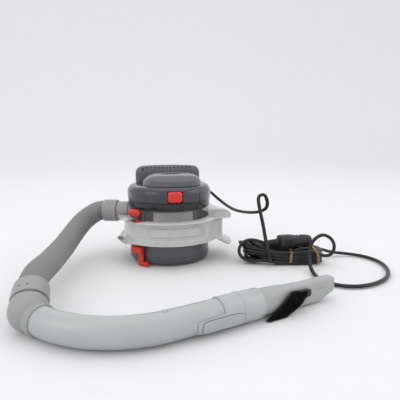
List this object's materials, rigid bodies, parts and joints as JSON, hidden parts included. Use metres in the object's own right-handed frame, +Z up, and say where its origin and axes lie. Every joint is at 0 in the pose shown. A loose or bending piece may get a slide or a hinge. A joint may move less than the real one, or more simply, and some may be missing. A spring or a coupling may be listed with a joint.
{
  "type": "handheld vacuum",
  "caption": "Cylinder-bodied 12 V handheld vacuum with a wrap-round hose, rigid curved wand, crevice nozzle with flip brush, hinged dust door and long plug-in lead.",
  "frame": {"origin": "centre of the bottom door's flat underside, on which the vacuum stands", "axes": "+Z up along the bowl's axis, the release button faces -Y, the hose leaves to -X"},
  "size_m": [0.5804, 0.4462, 0.163],
  "materials": {
    "smoked_clear_bowl": "polished smoked clear polycarbonate",
    "channel_grey": "satin translucent grey",
    "charcoal_gloss": "polished charcoal ABS",
    "charcoal_matte": "fine-grained charcoal ABS",
    "red_plastic": "polished red",
    "hose_grey": "matte flexible grey",
    "silver_grey": "satin silver grey",
    "tip_grey": "matte light grey",
    "black_plastic": "matte black",
    "bristle_black": "fine black nylon",
    "black_pvc": "semi-gloss black PVC",
    "grey_rubber": "soft dark rubber",
    "steel": "plain zinc-plated steel",
    "copper": "copper windings and brass",
    "ferrite": "black ferrite",
    "filter_cloth": "white pleated filter",
    "tie_tan": "tan plastic-covered wire",
    "fan_plastic": "natural nylon"
  },
  "bodies": {
    "root": {"dust_bowl": "smoked_clear_bowl", "hose_channel": "channel_grey", "inlet_port": "hose_grey", "hose_cuff": "hose_grey", "hose": "hose_grey", "swivel_collar": "hose_grey", "door_hinge_pin": "steel", "latch_pin": "steel", "bowl_seal": "grey_rubber", "power_cord": "black_pvc", "cord_tail": "black_pvc", "cord_hank": "black_pvc", "cord_ties": "tie_tan", "plug_relief": "black_pvc", "plug_body": "black_plastic", "plug_nose": "black_plastic", "plug_spring": "steel"},
    "motor_unit": {"motor_housing": "charcoal_gloss", "housing_collar": "charcoal_gloss", "top_cap": "charcoal_gloss", "exhaust_hump": "charcoal_matte", "cord_gland": "black_pvc", "button_spring": "steel", "button_bracket": "charcoal_matte", "switch_module": "black_plastic", "motor_can": "steel", "motor_end_bell": "black_plastic", "motor_magnets": "ferrite", "mounting_plate": "charcoal_matte", "housing_screws": "steel", "fan_shroud": "charcoal_matte"},
    "rotor": {"motor_shaft": "steel", "armature": "copper", "fan_impeller": "fan_plastic"},
    "filter": {"filter_frame": "fan_plastic", "filter_pleats": "filter_cloth", "filter_seal": "grey_rubber"},
    "release_button": {"release_button": "red_plastic"},
    "power_switch": {"power_switch": "charcoal_matte"},
    "door": {"bottom_door": "smoked_clear_bowl", "door_seal": "grey_rubber"},
    "latch": {"door_latch": "red_plastic"},
    "wand": {"wand_elbow": "hose_grey", "wand_tube": "silver_grey"},
    "nozzle": {"nozzle_sleeve": "silver_grey", "crevice_tip": "tip_grey"},
    "nozzle_latch": {"nozzle_latch": "silver_grey"},
    "brush": {"brush_holder": "black_plastic", "brush_bristles": "bristle_black", "brush_pin": "steel"},
    "plug_tip": {"plug_tip": "steel", "plug_fuse": "fan_plastic"},
    "plug_contact_near": {"plug_contact_near": "steel"},
    "plug_contact_far": {"plug_contact_far": "steel"}
  },
  "joints": [
    {"name": "motor_unit_lift", "type": "slide", "parent": "root", "child": "motor_unit", "axis": [0, 0, 1], "range_m": [0, 0.06]},
    {"name": "fan_spin", "type": "hinge", "parent": "motor_unit", "child": "rotor", "pos_m": [0, 0, 0.1], "axis": [0, 0, 1], "continuous": true},
    {"name": "filter_pull", "type": "slide", "parent": "motor_unit", "child": "filter", "axis": [0, 0, -1], "range_m": [0, 0.03]},
    {"name": "release_button_press", "type": "slide", "parent": "motor_unit", "child": "release_button", "axis": [0, 1, 0], "range_m": [0, 0.003], "stiffness_N_per_m": 900, "springref_m": -0.001},
    {"name": "power_switch_slide", "type": "slide", "parent": "motor_unit", "child": "power_switch", "axis": [1, 0, 0], "range_m": [0, 0.006]},
    {"name": "door_swing", "type": "hinge", "parent": "root", "child": "door", "pos_m": [0.05797, 0.05219, 0.01], "axis": [0.6691, -0.7431, 0], "range_deg": [0, 85]},
    {"name": "latch_press", "type": "hinge", "parent": "root", "child": "latch", "pos_m": [-0.05633, -0.05072, 0.06], "axis": [-0.6691, 0.7431, 0], "range_deg": [0, 4], "stiffness_Nm_per_rad": 0.6, "springref_deg": -5.73},
    {"name": "wand_swivel", "type": "hinge", "parent": "root", "child": "wand", "pos_m": [-0.20471, -0.24576, 0.03347], "axis": [0.0159, -0.9134, -0.4067], "continuous": true},
    {"name": "nozzle_pull", "type": "slide", "parent": "wand", "child": "nozzle", "axis": [0.9455, 0.3256, 0], "range_m": [0, 0.02]},
    {"name": "nozzle_latch_press", "type": "hinge", "parent": "nozzle", "child": "nozzle_latch", "pos_m": [0.01676, -0.32886, 0.0152], "axis": [0, 0, -1], "range_deg": [0, 1.5], "stiffness_Nm_per_rad": 0.5, "springref_deg": -1.15},
    {"name": "brush_flip", "type": "hinge", "parent": "nozzle", "child": "brush", "pos_m": [0.13147, -0.26884, 0.0257], "axis": [-0.3256, 0.9455, 0], "range_deg": [-100, 0]},
    {"name": "plug_tip_press", "type": "slide", "parent": "root", "child": "plug_tip", "axis": [-0.9986, -0.0523, 0], "range_m": [0, 0.003], "stiffness_N_per_m": 1200, "springref_m": -0.001},
    {"name": "plug_contact_near_press", "type": "slide", "parent": "root", "child": "plug_contact_near", "axis": [-0.0523, 0.9986, 0], "range_m": [0, 0.0008], "stiffness_N_per_m": 1500, "springref_m": -0.0005},
    {"name": "plug_contact_far_press", "type": "slide", "parent": "root", "child": "plug_contact_far", "axis": [0.0523, -0.9986, 0], "range_m": [0, 0.0008], "stiffness_N_per_m": 1500, "springref_m": -0.0005}
  ]
}
